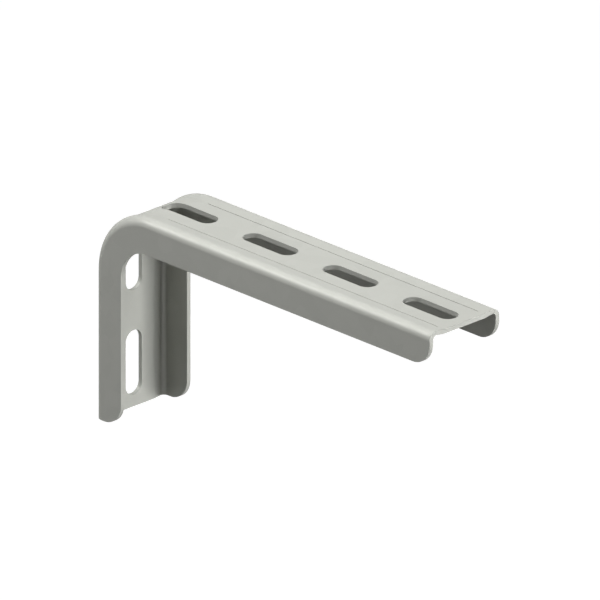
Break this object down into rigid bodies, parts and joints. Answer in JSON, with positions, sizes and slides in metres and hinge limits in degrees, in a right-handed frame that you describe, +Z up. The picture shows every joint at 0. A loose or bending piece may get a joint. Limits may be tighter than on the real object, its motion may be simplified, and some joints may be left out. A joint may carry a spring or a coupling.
{
  "type": "cantilever bracket",
  "caption": "Wall bracket pressed from galvanised sheet: a slotted channel bent into an L, its short leg bolted to a wall and its long arm carrying a tray, rail or pipe.",
  "frame": {"origin": "on the wall plane, halfway between the two wall slots, on the middle of the width", "axes": "+X out from the wall along the arm, +Y across the width, +Z up"},
  "size_m": [0.2, 0.0406, 0.0984],
  "materials": {
    "galvanised_steel": "matte zinc coating"
  },
  "bodies": {
    "root": {"bracket": "galvanised_steel"}
  },
  "joints": []
}
